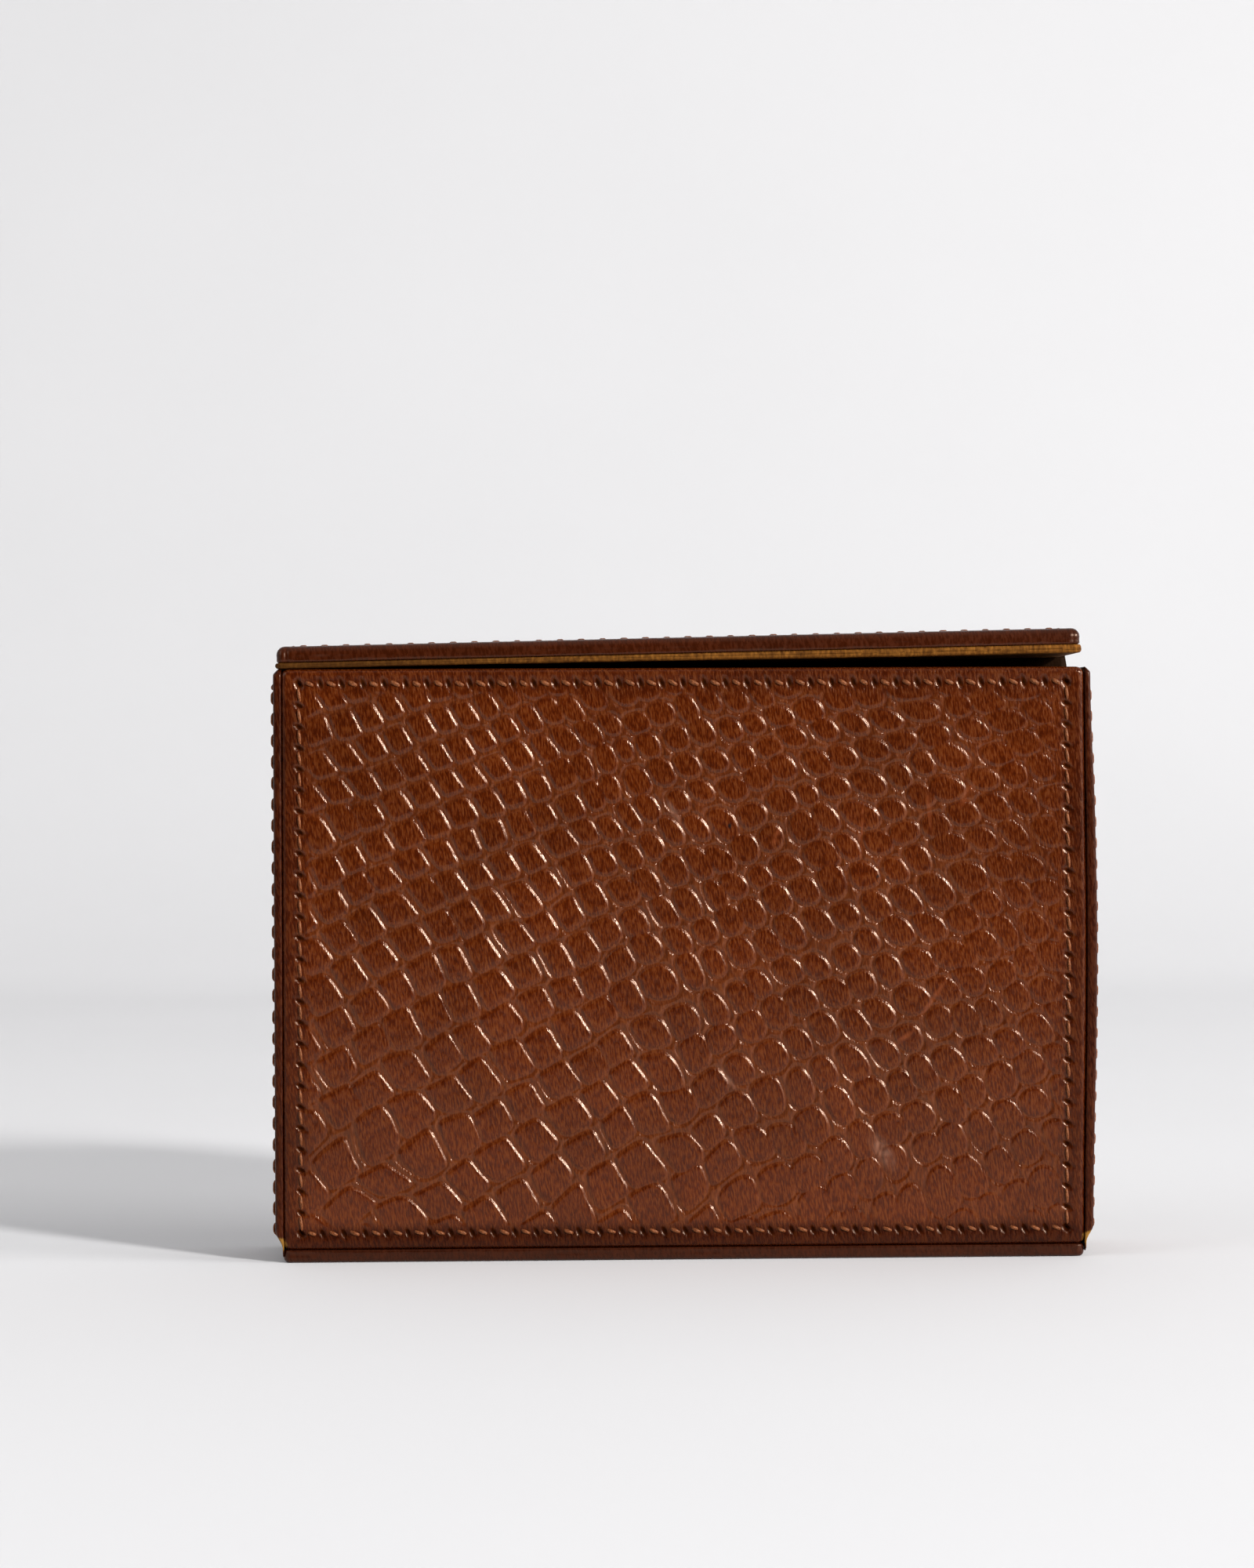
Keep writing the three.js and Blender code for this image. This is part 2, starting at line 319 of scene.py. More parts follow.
def groove_depth(gap, width):
    """Depth (0 to 1) of a groove with curved walls, at gap from its middle line."""
    wall = 1.0 - np.sqrt((gap / width) ** 2 + 0.05)
    return 0.5 * (wall + np.sqrt(wall ** 2 + 0.008)) / 0.78


def scale_relief(x, y, seed):
    """Groove depth (0 to 1) round embossed scales, how cushioned each point is, and the strip between.

    Square scales share their grooves. Round ones stand apart, with level leather between them.
    """
    s, t, stagger, size_s, size_t = scale_field(x, y)
    wander, drift = 0.19, 0.20
    s = s + wander * value_noise(x, y, 8.0, seed + 5) + drift * value_noise(x, y, 23.0, seed + 8)
    t = t + wander * value_noise(x, y, 8.0, seed + 6)
    roundness = smoothstep(-24.0, 2.0, x + 0.45 * y + 4.0 * value_noise(x, y, 9.0, seed + 7))
    square_power, round_power = 4.5, 2.25
    power = square_power + (round_power - square_power) * roundness
    lean = 0.20 - 0.08 * roundness
    shift = 0.075 + 0.03 * roundness
    vary = 0.035 + 0.03 * roundness
    table = np.random.default_rng(seed).uniform(-1.0, 1.0, (64, 64, 5))
    cell_j = np.floor(t).astype(int)
    gaps, radii, grooves = [], [], []
    for dj in (-1, 0, 1):
        j = cell_j + dj
        along_row = s - 0.20 * table[0, j % 64, 4]
        for di in (-1, 0, 1):
            i = np.floor(along_row).astype(int) + di
            random = table[i % 64, j % 64]
            half_s = 0.478 + 0.022 * roundness + vary * random[..., 2]
            half_t = 0.478 + 0.032 * roundness + vary * random[..., 3]
            dt = t - j - 0.5 - shift * random[..., 1]
            qs = (along_row - i - 0.5 + (lean - stagger) * dt - shift * random[..., 0]) / half_s
            qt = dt / half_t
            radius = np.maximum((np.abs(qs) ** power + np.abs(qt) ** power) ** (1.0 / power), 1e-3)
            gs = (np.abs(qs) / radius) ** (power - 1.0) / half_s
            gt = (np.abs(qt) / radius) ** (power - 1.0) / half_t
            soft = gt ** 2 / (gs ** 2 + gt ** 2) * (1.0 - roundness)
            across = np.sign(qt) * gt + np.sign(qs) * gs * (lean - stagger)
            gap = (radius - 1.0) / np.hypot(gs / size_s, across / size_t)
            gaps.append(gap)
            radii.append(radius)
            grooves.append((1.0 - 0.40 * soft) * groove_depth(gap, 0.44 + 0.14 * soft))
    gaps, radii, grooves = np.array(gaps), np.array(radii), np.array(grooves)
    own = np.argmin(radii, axis=0)[None]
    own_gap = np.take_along_axis(gaps, own, 0)[0]
    own_groove = np.take_along_axis(grooves, own, 0)[0]
    np.put_along_axis(grooves, own, 0.0, 0)
    others = grooves.max(axis=0) * smoothstep(-0.45, -0.15, own_gap)
    cushion = smoothstep(0.0, -1.6, own_gap)
    between = smoothstep(-0.15, 0.15, own_gap)
    return np.maximum(own_groove, others), cushion, between


def stitch_rows(width, height, insets):
    """Start, unit direction, number of stitches, pitch and slant of each of a panel's four rows."""
    side, low, high = insets
    x, y0, y1 = width / 2 - side, -height / 2 + low, height / 2 - high
    level_slant, upright_slant = -22.0, 7.0
    rows = []
    for start, end, slant in (((-x, y0), (x, y0), level_slant), ((-x, y1), (x, y1), level_slant),
                              ((-x, y0), (-x, y1), upright_slant), ((x, y0), (x, y1), upright_slant)):
        length = math.dist(start, end)
        count = max(2, round(length / STITCH_PITCH))
        direction = ((end[0] - start[0]) / length, (end[1] - start[1]) / length)
        rows.append((start, direction, count, length / count, math.radians(slant)))
    return rows


def stitch_dents(x, y, rows):
    """Depth of the pricked holes and of the seam that the thread pulls down, and where the holes are, for the
    painted shade in them.
    """
    dents, holes = np.zeros_like(x), np.zeros_like(x)
    for start, direction, count, pitch, slant in rows:
        u = (x - start[0]) * direction[0] + (y - start[1]) * direction[1]
        v = -(x - start[0]) * direction[1] + (y - start[1]) * direction[0]
        on_row = smoothstep(-0.8, -0.2, u) * smoothstep(-0.8, -0.2, count * pitch - u)
        seam = np.exp(-(v / 0.75) ** 2) * on_row
        near = (u + pitch / 2) % pitch - pitch / 2
        lean = math.radians(62.0) * np.sign(slant)
        a = near * math.cos(lean) + v * math.sin(lean)
        b = -near * math.sin(lean) + v * math.cos(lean)
        hole = np.exp(-(a / 0.70) ** 2 - (b / 0.30) ** 2) * on_row
        dents += 0.09 * seam + 0.34 * hole
        holes = np.maximum(holes, hole)
    return dents, holes


def wear_marks(x, y, marks):
    """How strongly each point shows one of the marks (centre x, centre y, half length, half width, angle)."""
    shown = np.zeros_like(x)
    for centre_x, centre_y, half_length, half_width, degrees in marks:
        turn = math.radians(degrees)
        a = (x - centre_x) * math.cos(turn) + (y - centre_y) * math.sin(turn)
        b = -(x - centre_x) * math.sin(turn) + (y - centre_y) * math.cos(turn)
        spot = smoothstep(1.3, 0.3, np.hypot(a / half_length, b / half_width))
        shown = np.maximum(shown, spot)
    return shown


def embossed(width, height, insets, seed, depth=0.22, fade=None, rebate=None, wear=None,
             rims=(1.0, 1.0, 1.0)):
    """relief(x, y) for an embossed leather face. rims says how much the sides, top and bottom are darkened,
    for burnished leather and as painted shade.
    """
    rows = stitch_rows(width, height, insets)
    side, low, high = insets

    def relief(x, y):
        groove, cushion, between = scale_relief(x, y, seed)
        from_level_rows = np.minimum(y + height / 2 - low, height / 2 - high - y)
        inner = np.minimum(width / 2 - side - np.abs(x), from_level_rows)
        strength = smoothstep(0.2, 3.0, inner)
        if fade:
            strength = strength * fade(x, y)
        strength = strength * (1.0 + 0.22 * value_noise(x, y, 14.0, seed + 13))
        heights = (0.03 * cushion - depth * groove - 0.02 * between) * strength
        heights += 0.035 * value_noise(x, y, 6.0, seed + 11) * smoothstep(0.0, 3.0, inner)
        heights += 0.006 * value_noise(x, y, 0.9, seed + 12)
        dents, holes = stitch_dents(x, y, rows)
        heights -= dents
        if rebate:
            heights -= rebate(x, y)
        # crease marks where the leather gets a painted sheen: the grooves and the level strips between round
        # scales.
        crease = np.maximum(groove, between) * np.clip(strength, 0, 1)
        border = np.minimum(width / 2 - np.abs(x), height / 2 - np.abs(y))
        edge = smoothstep(5.0, 1.2, border + 0.5 * value_noise(x, y, 5.0, seed + 15))
        sides, top, bottom = rims
        edge *= sides + (top - sides) * smoothstep(4.5, 2.0, height / 2 - y)
        edge += (bottom - edge) * smoothstep(4.5, 2.0, y + height / 2) * (bottom > sides)
        attributes = {"crease": crease, "hole": holes, "edge": edge}
        for kind, marks in (wear or {}).items():
            ragged = 0.75 + 0.5 * value_noise(x, y, 0.7, seed + 16) if kind != "spot" else 1.0
            attributes[kind] = np.clip(wear_marks(x, y, marks) * ragged, 0.0, 1.0)
        return heights, attributes

    return relief


def stitches(name, matrix, width, height, insets, material, lift=0.0, seed=3):
    """Every saddle stitch of a panel as its own twisted length of thread, all in one mesh."""
    rng = np.random.default_rng(seed)
    rings, sides = 9, 8
    t = np.linspace(-1.0, 1.0, rings)
    angle = np.arange(sides) * 2 * math.pi / sides
    points, faces = [], []
    for start, direction, count, pitch, slant in stitch_rows(width, height, insets):
        base = math.atan2(direction[1], direction[0])
        for k in range(count):
            middle = (k + 0.5) * pitch
            heading = base + slant + rng.uniform(-0.05, 0.05)
            level = abs(direction[0]) > 0.5
            half = pitch * (rng.uniform(0.23, 0.28) if level else rng.uniform(0.36, 0.40))
            thick = THREAD_RADIUS * rng.uniform(0.92, 1.06) * (1.18 if level else 1.0)
            centre = np.array([start[0] + direction[0] * middle, start[1] + direction[1] * middle])
            centre += rng.uniform(-0.04, 0.04, 2)
            along = np.array([math.cos(heading), math.sin(heading)])
            across = np.array([-along[1], along[0]])
            taper = np.sqrt(np.clip(1.0 - np.abs(t) ** 3.0, 0.0, 1.0)) * 0.75 + 0.25
            rise = lift + 0.08 - 0.42 * np.abs(t) ** 3
            first = sum(len(p) for p in points)
            for r in range(rings):
                ply = 1.0 + 0.10 * np.cos(2 * (angle - 2.6 * t[r]))
                radius = thick * taper[r] * ply
                flat = centre + along * (half * t[r])
                ring = flat[None, :] + across[None, :] * (radius * np.cos(angle))[:, None]
                points.append(np.c_[ring, rise[r] + 0.85 * radius * np.sin(angle)])
            for r in range(rings - 1):
                for q in range(sides):
                    a, b = first + r * sides + q, first + r * sides + (q + 1) % sides
                    faces.append((a, a + sides, b + sides, b))
            faces.append(tuple(first + np.arange(sides)))
            faces.append(tuple(first + (rings - 1) * sides + np.arange(sides)[::-1]))
    return make_piece(name, np.vstack(points), faces, matrix, material)


# ---------------------------------------------------------------- materials

def new_material(name):
    material = bpy.data.materials.new(name)
    material.use_nodes = True
    tree = material.node_tree
    return material, tree, tree.nodes["Principled BSDF"]


def stretched_coordinates(tree, scale, lean_degrees=0.0):
    coordinates = tree.nodes.new("ShaderNodeTexCoord")
    turn = tree.nodes.new("ShaderNodeMapping")
    turn.inputs["Rotation"].default_value = (0.0, math.radians(lean_degrees), 0.0)
    stretch = tree.nodes.new("ShaderNodeMapping")
    stretch.inputs["Scale"].default_value = scale
    tree.links.new(coordinates.outputs["Object"], turn.inputs["Vector"])
    tree.links.new(turn.outputs["Vector"], stretch.inputs["Vector"])
    return stretch.outputs["Vector"]


def noise(tree, vector, scale=1.0, detail=2.0, roughness=0.5):
    node = tree.nodes.new("ShaderNodeTexNoise")
    node.inputs["Scale"].default_value = scale
    node.inputs["Detail"].default_value = detail
    node.inputs["Roughness"].default_value = roughness
    tree.links.new(vector, node.inputs["Vector"])
    return node.outputs["Fac"]


def ramp(tree, value, stops):
    node = tree.nodes.new("ShaderNodeValToRGB")
    elements = node.color_ramp.elements
    while len(elements) < len(stops):
        elements.new(0.5)
    for element, (position, colour) in zip(elements, stops):
        element.position = position
        element.color = (*colour, 1.0)
    tree.links.new(value, node.inputs["Fac"])
    return node.outputs["Color"]


def map_range(tree, value, low, high, to_low=0.0, to_high=1.0):
    node = tree.nodes.new("ShaderNodeMapRange")
    node.interpolation_type = "SMOOTHSTEP"
    for key, number in (("From Min", low), ("From Max", high), ("To Min", to_low), ("To Max", to_high)):
        node.inputs[key].default_value = number
    tree.links.new(value, node.inputs["Value"])
    return node.outputs["Result"]


def math_node(tree, operation, a, b):
    node = tree.nodes.new("ShaderNodeMath")
    node.operation = operation
    for socket, value in zip(node.inputs, (a, b)):
        if isinstance(value, (int, float)):
            socket.default_value = value
        else:
            tree.links.new(value, socket)
    return node.outputs["Value"]


def mix(tree, factor, a, b, blend="MIX"):
    node = tree.nodes.new("ShaderNodeMix")
    node.data_type = "RGBA"
    node.blend_type = blend
    if isinstance(factor, (int, float)):
        node.inputs["Factor"].default_value = factor
    else:
        tree.links.new(factor, node.inputs["Factor"])
    for key, colour in (("A", a), ("B", b)):
        socket = [s for s in node.inputs if s.name == key and s.type == "RGBA"][0]
        if isinstance(colour, tuple):
            socket.default_value = (*colour, 1.0)
        else:
            tree.links.new(colour, socket)
    return [s for s in node.outputs if s.type == "RGBA"][0]


def attribute(tree, name):
    node = tree.nodes.new("ShaderNodeAttribute")
    node.attribute_name = name
    return node.outputs["Fac"]


def bump(tree, height, distance_m, strength=1.0, normal=None):
    node = tree.nodes.new("ShaderNodeBump")
    node.inputs["Distance"].default_value = distance_m
    node.inputs["Strength"].default_value = strength
    tree.links.new(height, node.inputs["Height"])
    if normal is not None:
        tree.links.new(normal, node.inputs["Normal"])
    return node.outputs["Normal"]


def tint_where(tree, colour, name, share, tint):
    """Colour with a share of tint mixed in where the vertex attribute called name is 1."""
    return mix(tree, math_node(tree, "MULTIPLY", attribute(tree, name), share), colour, tint)


def dim_where(tree, value, name, low, high, least):
    """Value, falling to least of itself as the vertex attribute called name goes from low to high."""
    return math_node(tree, "MULTIPLY", value, map_range(tree, attribute(tree, name), low, high, 1.0, least))


def worn_corners(tree):
    """Where the case's two front bottom corners are rubbed down to the raw leather."""
    coordinates = tree.nodes.new("ShaderNodeTexCoord")
    mirror = tree.nodes.new("ShaderNodeVectorMath")
    mirror.operation = "ABSOLUTE"
    tree.links.new(coordinates.outputs["Object"], mirror.inputs[0])
    reach = tree.nodes.new("ShaderNodeVectorMath")
    reach.operation = "DISTANCE"
    tree.links.new(mirror.outputs["Vector"], reach.inputs[0])
    reach.inputs[1].default_value = (0.0638, 0.0124, 0.0028)
    ragged = noise(tree, coordinates.outputs["Object"], scale=1500.0, detail=2.0)
    spread = math_node(tree, "ADD", reach.outputs["Value"], math_node(tree, "MULTIPLY", ragged, 0.0009))
    return map_range(tree, spread, 0.0014, 0.0019, 1.0, 0.0)


def leather_material(name, streak_scale, shades, gloss=0.21, grain_m=0.00007, gleam_at_edge=0.22):
    """Glazed brown leather: streaky grain and cloudy colour, with a painted sheen along the creases, painted
    shade in the stitch holes and on the hinge strip's inner face, and rims darkened for burnished leather and
    as painted shade.
    """
    material, tree, shader = new_material(name)
    streaks = noise(tree, stretched_coordinates(tree, streak_scale, 8.0), detail=2.0, roughness=0.5)
    clouds = noise(tree, stretched_coordinates(tree, (1.0, 1.0, 1.0)), scale=70.0, detail=3.0)
    pores = noise(tree, stretched_coordinates(tree, (1.0, 1.0, 1.0)), scale=5200.0, detail=1.0)
    colour = ramp(tree, streaks, list(zip((0.38, 0.50, 0.64), shades)))
    shade = ramp(tree, clouds, [(0.35, (0.85, 0.83, 0.81)), (0.65, (1.10, 1.08, 1.06))])
    colour = mix(tree, 1.0, colour, shade, "MULTIPLY")
    # Painted sheen: a paler, pinker tint along the grooves and the strips between scales.
    colour = tint_where(tree, colour, "crease", 0.24, (0.142, 0.042, 0.013))
    colour = tint_where(tree, colour, "scuff", 0.28, (0.36, 0.19, 0.13))
    colour = tint_where(tree, colour, "scratch", 0.35, (0.26, 0.060, 0.018))
    colour = tint_where(tree, colour, "spot", 1.0, (0.008, 0.006, 0.006))
    # The rims are darkened: burnished leather, plus painted shade that is heaviest along the front's bottom
    # and lightest along its top.
    worn = math_node(tree, "MULTIPLY", attribute(tree, "edge"), 0.85)
    colour = mix(tree, worn, colour, mix(tree, 1.0, colour, (0.34, 0.27, 0.20), "MULTIPLY"))
    # Painted shade: the stitch holes are made near black.
    colour = tint_where(tree, colour, "hole", 1.0, (0.010, 0.003, 0.001))
    # Painted shade: the hinge strip's inner face is made near black, standing in for the dark slot under the
    # lid.
    colour = tint_where(tree, colour, "inner", 1.0, (0.011, 0.0042, 0.0014))
    colour = mix(tree, worn_corners(tree), colour, (0.26, 0.125, 0.022))
    tree.links.new(colour, shader.inputs["Base Color"])
    rough = map_range(tree, streaks, 0.3, 0.7, gloss - 0.04, gloss + 0.06)
    rough = math_node(tree, "ADD", rough, math_node(tree, "MULTIPLY", attribute(tree, "edge"), 0.07))
    tree.links.new(rough, shader.inputs["Roughness"])
    gleam = map_range(tree, attribute(tree, "edge"), 0.0, 1.0, 0.44, gleam_at_edge)
    gleam = dim_where(tree, gleam, "hole", 0.05, 0.5, 0.0)
    gleam = dim_where(tree, gleam, "inner", 0.0, 1.0, 0.1)
    tree.links.new(gleam, shader.inputs["Specular IOR Level"])
    shader.inputs["Specular Tint"].default_value = (1.0, 0.71, 0.54, 1.0)
    grain = bump(tree, streaks, grain_m, 0.8)
    tree.links.new(bump(tree, pores, 0.000008, 0.4, grain), shader.inputs["Normal"])
    return material


def lining_material(name, left=1.0):
    """Tan lining leather. left is how much brightness the lining keeps at its left end under a painted shade,
    laid where the lid sits lowest.
    """
    material, tree, shader = new_material(name)
    fibre = noise(tree, stretched_coordinates(tree, (2600.0, 900.0, 900.0)), detail=3.0, roughness=0.65)
    clouds = noise(tree, stretched_coordinates(tree, (1.0, 1.0, 1.0)), scale=90.0, detail=3.0)
    colour = ramp(tree, fibre, [(0.30, (0.05, 0.015, 0.0015)), (0.50, (0.13, 0.046, 0.0060)),
                                (0.70, (0.25, 0.10, 0.016))])
    shade = ramp(tree, clouds, [(0.35, (0.80, 0.78, 0.74)), (0.65, (1.1, 1.08, 1.05))])
    colour = mix(tree, 1.0, colour, shade, "MULTIPLY")
    split = tree.nodes.new("ShaderNodeSeparateXYZ")
    tree.links.new(stretched_coordinates(tree, (1.0, 1.0, 1.0)), split.inputs["Vector"])
    # Painted shade: the lining darkens towards its left end, where the lid sits lowest over the case.
    left_shade = map_range(tree, split.outputs["X"], -0.055, 0.0, 1.0 - left, 0.0)
    colour = mix(tree, left_shade, colour, (0.030, 0.009, 0.001))
    tree.links.new(colour, shader.inputs["Base Color"])
    tree.links.new(map_range(tree, fibre, 0.3, 0.7, 0.60, 0.80), shader.inputs["Roughness"])
    shader.inputs["Specular IOR Level"].default_value = 0.25
    shader.inputs["Specular Tint"].default_value = (1.0, 0.60, 0.30, 1.0)
    tree.links.new(bump(tree, fibre, 0.00004, 0.5), shader.inputs["Normal"])
    return material


def thread_material():
    material, tree, shader = new_material("waxed_thread")
    fibre = noise(tree, stretched_coordinates(tree, (6000.0, 6000.0, 2600.0), 35.0), detail=2.0)
    colour = ramp(tree, fibre, [(0.30, (0.070, 0.018, 0.004)), (0.55, (0.170, 0.046, 0.013)),
                                (0.78, (0.30, 0.105, 0.038))])
    tree.links.new(colour, shader.inputs["Base Color"])
    tree.links.new(map_range(tree, fibre, 0.3, 0.7, 0.36, 0.52), shader.inputs["Roughness"])
    shader.inputs["Specular Tint"].default_value = (1.0, 0.66, 0.45, 1.0)
    tree.links.new(bump(tree, fibre, 0.00005, 0.7), shader.inputs["Normal"])
    return material


def board_material():
    material, tree, shader = new_material("grey_board")
    pulp = noise(tree, stretched_coordinates(tree, (1.0, 1.0, 1.0)), scale=900.0, detail=4.0, roughness=0.7)
    colour = ramp(tree, pulp, [(0.3, (0.14, 0.12, 0.10)), (0.5, (0.22, 0.20, 0.17)),
                               (0.75, (0.32, 0.29, 0.25))])
    tree.links.new(colour, shader.inputs["Base Color"])
    shader.inputs["Roughness"].default_value = 0.9
    tree.links.new(bump(tree, pulp, 0.00006, 0.6), shader.inputs["Normal"])
    return material


STREAKED = ((0.046, 0.0058, 0.0004), (0.078, 0.0115, 0.0007), (0.112, 0.0240, 0.0036))
EVEN = ((0.052, 0.0082, 0.0006), (0.065, 0.0104, 0.0008), (0.082, 0.0140, 0.0012))
upright_leather = leather_material("embossed_leather", (3900.0, 3900.0, 860.0), STREAKED)
flat_leather = leather_material("edge_leather", (2400.0, 900.0, 900.0), EVEN,
                                grain_m=0.00003, gleam_at_edge=0.34)
strip_leather = leather_material("strip_leather", (2200.0, 2200.0, 700.0), STREAKED, gloss=0.5)
tan_leather = lining_material("tan_lining")
# The lid's lining carries painted shade over its left part.
shaded_lid_tan = lining_material("lid_lining", left=0.35)
thread = thread_material()
board = board_material()


# ---------------------------------------------------------------- pieces of the case

def wall_frames():
    """The panel frames of the four walls and the base, from the outer faces of their leather."""
    frames = {}
    for name, outward, x_axis in (("front", (0, -1, 0), (1, 0, 0)), ("back", (0, 1, 0), (-1, 0, 0)),
                                  ("left_end", (-1, 0, 0), (0, -1, 0)), ("right_end", (1, 0, 0), (0, 1, 0)),
                                  ("base", (0, 0, -1), (1, 0, 0))):
        low, high = node_size(f"{name}_leather")
        centre, out = (low + high) / 2, Vector(outward)
        half = (high - low) / 2
        origin = centre + Vector([out[k] * half[k] for k in range(3)])
        frames[name] = place(origin, x_axis, outward)
    return frames


def panel_size(node, first, second):
    low, high = node_size(node)
    size = high - low
    return size[first], size[second]


frames = wall_frames()
lid_middle = lid_pivot + lid_x * (PANEL_WIDTH / 2)
frames["lid"] = place(lid_middle + lid_z * (LID_BODY + LID_LINING + LID_PADDING), lid_x, lid_z)

# Marks of use on the front: centre x and y from the panel's middle, half length, half width, and
# direction in degrees
FRONT_WEAR = {
    "spot": [(7.2, 20.8, 0.50, 0.30, 80.0), (30.4, 12.7, 0.32, 0.22, 80.0)],
    "scuff": [(6.5, -18.7, 2.4, 0.45, -52.0), (31.0, -30.5, 3.4, 1.4, -55.0), (-1.5, 22.8, 2.6, 0.5, -60.0)],
    "scratch": [(39.0, -6.5, 4.2, 0.40, 55.0), (34.0, -13.0, 2.6, 0.45, 38.0), (28.0, 20.5, 4.5, 0.25, 88.0),
                (38.5, 23.0, 4.0, 0.35, 95.0), (14.5, 19.0, 1.6, 0.5, 70.0), (44.5, 25.5, 2.4, 0.6, 60.0)],
}


def front_fade(x, y):
    """The embossing is worn shallow towards the right side, along the top and low on the right."""
    right = 1.0 - 0.45 * smoothstep(30.0, 58.0, x)
    top = 1.0 - 0.35 * smoothstep(26.0, 42.0, y) * smoothstep(-60.0, 10.0, x)
    low = 1.0 - 0.40 * smoothstep(-24.0, -40.0, y) * smoothstep(-10.0, 30.0, x)
    return right * top * low


def add_cover(name, body, shape, material):
    """A panel's leather cover, from what slab gives."""
    points, faces, attributes = shape
    piece = make_piece(f"{name}_cover", points, faces, frames[name], material, attributes)
    add_piece(piece, body, "embossed_leather", f"{name}_leather")


def add_stitches(name, body, width, height, insets, lift=0.0, seed=3):
    rows = stitches(f"{name}_stitches", frames[name], width, height, insets, thread, lift, seed)
    add_piece(rows, body, "waxed_thread", f"{name}_stitching")


def build_front():
    width, height = panel_size("front_leather", 0, 2)
    relief = embossed(width, height, FRONT_INSETS, seed=21, fade=front_fade, wear=FRONT_WEAR,
                      rims=(0.60, 0.30, 1.0))
    shape = slab(width, height, WALL_BODY, 0.2, 0.85, relief=relief,
                 pocket=(TURNED_EDGE, WALL_LEATHER), seed=4)
    add_cover("front", "case", shape, upright_leather)
    add_stitches("front", "case", width, height, FRONT_INSETS, seed=31)


def build_back():
    width, height = panel_size("back_leather", 0, 2)

    def rebate(x, y):
        inside = np.minimum(STRIP_HALF + 0.1 - np.abs(x), y - (height / 2 - STRIP_LAP - 0.1))
        return (STRIP_THICK + 0.06) * smoothstep(-0.05, 0.05, inside)

    relief = embossed(width, height, BACK_INSETS, seed=57, rebate=rebate)
    shape = slab(width, height, WALL_BODY, 0.36, 0.6, relief=relief,
                 pocket=(TURNED_EDGE, WALL_LEATHER), seed=6)
    add_cover("back", "case", shape, upright_leather)
    add_stitches("back", "case", width, height, BACK_INSETS, seed=33)


def build_end(name, seed):
    width, height = panel_size(f"{name}_leather", 1, 2)
    relief = embossed(width, height, EVEN_INSETS, seed=seed, depth=0.15)
    shape = slab(width, height, WALL_LEATHER, 0.3, 0.55, under_round=0.45, relief=relief, seed=seed)
    add_cover(name, "case", shape, upright_leather)
    add_stitches(name, "case", width, height, EVEN_INSETS, lift=0.20, seed=seed + 1)


def build_base():
    relief = embossed(PANEL_WIDTH, DEPTH, EVEN_INSETS, seed=71, depth=0.08)
    shape = slab(PANEL_WIDTH, DEPTH, BASE_BODY, 0.35, 0.75, relief=relief,
                 pocket=(TURNED_EDGE, BASE_LEATHER), seed=8)
    add_cover("base", "case", shape, flat_leather)
    add_stitches("base", "case", PANEL_WIDTH, DEPTH, EVEN_INSETS, lift=-0.42, seed=35)


def lid_reach(x):
    """How far the lid's leather is drawn out to the right at x."""
    return LID_REACH * smoothstep(20.0, 62.0, x)


def build_lid():
    relief = embossed(PANEL_WIDTH, DEPTH, EVEN_INSETS, seed=83, depth=0.12, rims=(0.8, 0.8, 0.8))
    shape = slab(PANEL_WIDTH, DEPTH, LID_BODY + LID_PADDING, 0.25, 1.35, under_round=0.35, relief=relief,
                 pocket=(TURNED_EDGE, LID_LEATHER + LID_PADDING), side_wave=0.05, seed=10)
    points = shape[0]
    behind = (points[:, 1] > DEPTH / 2 - 0.9) & (points[:, 2] < -REBATE_TOP - LID_PADDING)
    points[behind, 1] = np.minimum(points[behind, 1], DEPTH / 2 - STRIP_THICK - 0.08)
    for corner_fold in (-61.4, 61.9):
        crease = np.exp(-((points[:, 0] - corner_fold) / 0.22) ** 2)
        points[:, 1] += 0.22 * crease * smoothstep(-11.6, -12.2, points[:, 1])
    points[:, 0] += lid_reach(points[:, 0])
    add_cover("lid", "lid", shape, flat_leather)
    add_stitches("lid", "lid", PANEL_WIDTH, DEPTH, EVEN_INSETS, lift=-0.10, seed=37)


def build_lid_lining():
    """Padded tan leather under the lid. It hangs at the raised end."""
    room_for_strip = STRIP_THICK + 0.1
    thickness = LID_LINING - LINING_RAISE - 0.03
    origin = lid_middle + Vector((0, -room_for_strip / 2, 0)) + lid_z * LINING_RAISE
    points, faces, _ = slab(
        PANEL_WIDTH + 0.5, DEPTH - room_for_strip, thickness, 0.6, 0.5, under_round=0.45, side_wave=0.12,
        seed=12, relief=lambda x, y: (0.04 * value_noise(x, y, 5.0, 9), {}))
    outer = smoothstep(-0.75, -0.35, points[:, 2])
    points[:, 2] += LINING_SAG * smoothstep(-40.0, 60.0, points[:, 0]) * outer
    points[:, 0] += lid_reach(points[:, 0])
    under = place(origin, lid_x, -lid_z)
    lining = make_piece("lid_lining_leather", points, faces, under, shaded_lid_tan)
    add_piece(lining, "lid", "lining_leather", "lid_lining")
    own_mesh(lining)


